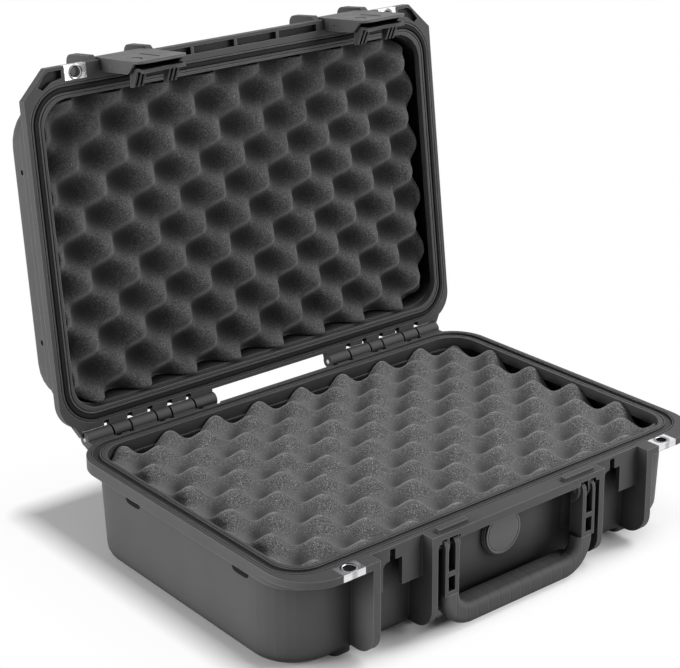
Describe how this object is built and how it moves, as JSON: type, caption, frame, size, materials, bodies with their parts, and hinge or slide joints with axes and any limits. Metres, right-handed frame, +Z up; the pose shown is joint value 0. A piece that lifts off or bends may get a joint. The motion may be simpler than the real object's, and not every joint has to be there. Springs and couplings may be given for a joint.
{
  "type": "hard case",
  "caption": "Hinged moulded hard case shown open, with egg-crate foam in lid and base, trigger latches, a folding front handle, a pressure valve and steel padlock plates.",
  "frame": {"origin": "centre of the bounding box's footprint, at the bottom of the feet, with the lid open as pictured", "axes": "+X to the right seen from the front, +Y to the back, +Z up"},
  "size_m": [0.456, 0.409, 0.4227],
  "materials": {
    "shell": "matte",
    "seal": "matte",
    "pins": "satin",
    "latch": "satin",
    "trigger": "satin",
    "spring": "satin",
    "handle": "matte",
    "grip": "matte",
    "valve": "satin",
    "membrane": "matte",
    "padlock_plate": "polished",
    "lid_foam": "matte",
    "base_foam": "matte"
  },
  "bodies": {
    "base": {"base_shell": "shell", "hinge_pin_left": "pins", "hinge_pin_right": "pins", "handle_pin_left": "pins", "handle_pin_right": "pins", "valve_body": "valve", "valve_cap": "valve", "valve_o_ring": "seal", "valve_nut": "valve", "valve_membrane": "membrane", "padlock_plate_base_left": "padlock_plate", "padlock_plate_base_right": "padlock_plate", "base_foam_top": "base_foam", "base_foam_bottom": "base_foam"},
    "lid": {"lid_shell": "shell", "lid_gasket": "seal", "latch_pin_left": "pins", "latch_pin_right": "pins", "padlock_plate_lid_left": "padlock_plate", "padlock_plate_lid_right": "padlock_plate", "lid_foam": "lid_foam"},
    "latch_left": {"latch_body_left": "latch", "trigger_pin_left": "pins", "trigger_spring_left": "spring"},
    "latch_right": {"latch_body_right": "latch", "trigger_pin_right": "pins", "trigger_spring_right": "spring"},
    "trigger_left": {"latch_trigger_left": "trigger"},
    "trigger_right": {"latch_trigger_right": "trigger"},
    "handle": {"handle_frame": "handle", "handle_grip": "grip"}
  },
  "joints": [
    {"name": "lid_hinge", "type": "hinge", "parent": "base", "child": "lid", "pos_m": [0, 0.12347, 0.09115], "axis": [1, 0, 0], "range_deg": [0, 96.5]},
    {"name": "latch_pivot_left", "type": "hinge", "parent": "lid", "child": "latch_left", "pos_m": [-0.1235, 0.17213, 0.40919], "axis": [-1, 0, 0], "range_deg": [0, 105]},
    {"name": "trigger_pivot_left", "type": "hinge", "parent": "latch_left", "child": "trigger_left", "pos_m": [-0.1235, 0.14572, 0.41149], "axis": [-1, 0, 0], "range_deg": [0, 5.5], "stiffness_Nm_per_rad": 0.05, "springref_deg": -11.46},
    {"name": "latch_pivot_right", "type": "hinge", "parent": "lid", "child": "latch_right", "pos_m": [0.1235, 0.17213, 0.40919], "axis": [-1, 0, 0], "range_deg": [0, 105]},
    {"name": "trigger_pivot_right", "type": "hinge", "parent": "latch_right", "child": "trigger_right", "pos_m": [0.1235, 0.14572, 0.41149], "axis": [-1, 0, 0], "range_deg": [0, 5.5], "stiffness_Nm_per_rad": 0.05, "springref_deg": -11.46},
    {"name": "handle_pivot", "type": "hinge", "parent": "base", "child": "handle", "pos_m": [0, -0.19753, 0.078], "axis": [-1, 0, 0], "range_deg": [0, 95]}
  ]
}
